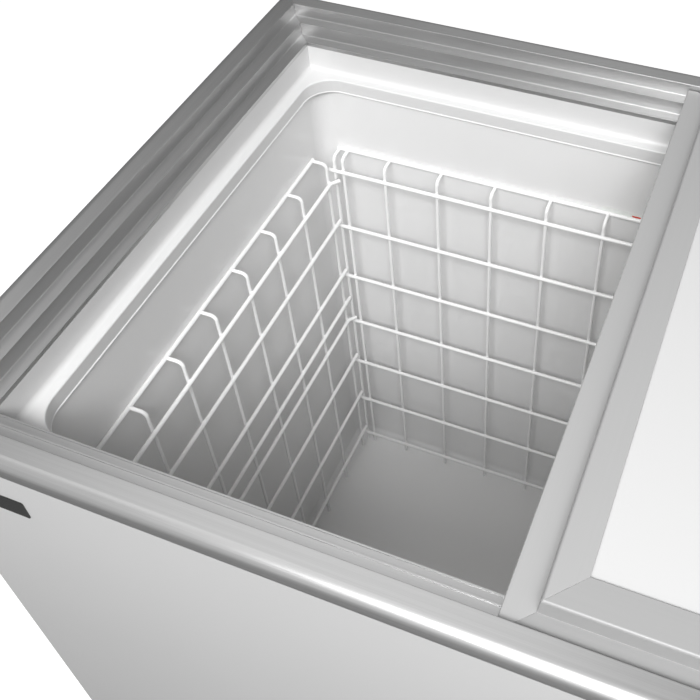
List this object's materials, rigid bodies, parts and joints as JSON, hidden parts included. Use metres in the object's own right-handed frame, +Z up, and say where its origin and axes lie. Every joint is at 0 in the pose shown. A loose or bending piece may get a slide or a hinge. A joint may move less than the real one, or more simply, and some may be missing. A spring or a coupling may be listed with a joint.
{
  "type": "chest freezer",
  "caption": "Open-top chest freezer with two solid lids sliding on stepped rim tracks, wire guards inside and its refrigeration unit at one end.",
  "frame": {"origin": "on the floor under the middle of the cabinet", "axes": "+X along the length to the right seen from the front, +Y to the rear, +Z up"},
  "size_m": [1.05, 0.65, 0.8613],
  "materials": {
    "rim_alloy": "extruded, satin anodised",
    "corner_nylon": "moulded",
    "collar_white": "smooth moulded",
    "liner_white": "smooth white coated sheet",
    "foam": "rigid polyurethane foam",
    "copper": "drawn copper tube",
    "cabinet_white": "coated steel sheet",
    "galvanised": "galvanised sheet",
    "foot_rubber": "moulded",
    "drain_grey": "moulded",
    "plug_rubber": "moulded",
    "badge_black": "glossy label plate",
    "label_pale": "printed film",
    "label_red": "printed film",
    "wire_white": "powder-coated wire",
    "compressor_black": "semi-gloss enamel",
    "terminal_black": "moulded",
    "fin_alloy": "plain mill fins",
    "fan_black": "moulded",
    "grille_grey": "fine textured moulding",
    "screw_zinc": "zinc plated",
    "control_grey": "fine textured moulding",
    "knob_black": "moulded",
    "lamp_tint": "translucent lens",
    "gland_black": "moulded",
    "lid_frame": "extruded, smooth",
    "lid_panel": "smooth white coated sheet",
    "glide_grey": "felted plastic strip"
  },
  "bodies": {
    "cabinet": {"rim_front": "rim_alloy", "rim_rear": "rim_alloy", "rim_left": "rim_alloy", "rim_right": "rim_alloy", "rim_corner_brackets": "corner_nylon", "collar": "collar_white", "inner_liner": "liner_white", "foam_insulation": "foam", "evaporator_coil": "copper", "drain_tube": "drain_grey", "front_panel": "cabinet_white", "rear_panel": "cabinet_white", "left_panel": "cabinet_white", "right_panel": "cabinet_white", "base_pan": "galvanised", "feet": "foot_rubber", "machine_bulkhead": "galvanised", "badge_plate": "badge_black", "load_line_strip": "label_pale", "load_line_marks": "label_red", "guard_rear": "wire_white", "guard_front": "wire_white", "guard_left": "wire_white", "guard_right": "wire_white", "compressor_shell": "compressor_black", "compressor_rubber_mounts": "foot_rubber", "compressor_mount_plate": "galvanised", "compressor_terminal_box": "terminal_black", "condenser_fins": "fin_alloy", "condenser_tube": "copper", "fan_shroud": "fan_black", "fan_motor": "galvanised", "filter_drier": "copper", "discharge_line": "copper", "suction_line": "copper", "side_grille": "grille_grey", "grille_screws": "screw_zinc", "control_panel": "control_grey", "thermostat_body": "terminal_black", "indicator_lamps": "lamp_tint", "cord_gland": "gland_black"},
    "upper_lid": {"upper_lid_front_rail": "lid_frame", "upper_lid_rear_rail": "lid_frame", "upper_lid_left_rail": "lid_frame", "upper_lid_right_rail": "lid_frame", "upper_lid_core": "foam", "upper_lid_skin": "lid_panel", "upper_lid_glides": "glide_grey"},
    "lower_lid": {"lower_lid_front_rail": "lid_frame", "lower_lid_rear_rail": "lid_frame", "lower_lid_left_rail": "lid_frame", "lower_lid_right_rail": "lid_frame", "lower_lid_core": "foam", "lower_lid_skin": "lid_panel", "lower_lid_glides": "glide_grey"},
    "fan": {"fan_rotor": "fan_black"},
    "knob": {"thermostat_knob": "knob_black"},
    "floor_plug": {"drain_plug": "plug_rubber"},
    "front_cap": {"drain_cap": "drain_grey"}
  },
  "joints": [
    {"name": "upper_lid_slide", "type": "slide", "parent": "cabinet", "child": "upper_lid", "axis": [1, 0, 0], "range_m": [-0.455, 0]},
    {"name": "lower_lid_slide", "type": "slide", "parent": "cabinet", "child": "lower_lid", "axis": [1, 0, 0], "range_m": [-0.4425, 0]},
    {"name": "fan_spin", "type": "hinge", "parent": "cabinet", "child": "fan", "pos_m": [0.455, -0.15, 0.128], "axis": [1, 0, 0], "continuous": true},
    {"name": "thermostat_turn", "type": "hinge", "parent": "cabinet", "child": "knob", "pos_m": [0.362, -0.31, 0.11], "axis": [0, 1, 0], "range_deg": [-135, 135]},
    {"name": "floor_plug_lift", "type": "slide", "parent": "cabinet", "child": "floor_plug", "axis": [0, 0, 1], "range_m": [0, 0.06]},
    {"name": "front_cap_pull", "type": "slide", "parent": "cabinet", "child": "front_cap", "axis": [0, -1, 0], "range_m": [0, 0.03]}
  ]
}
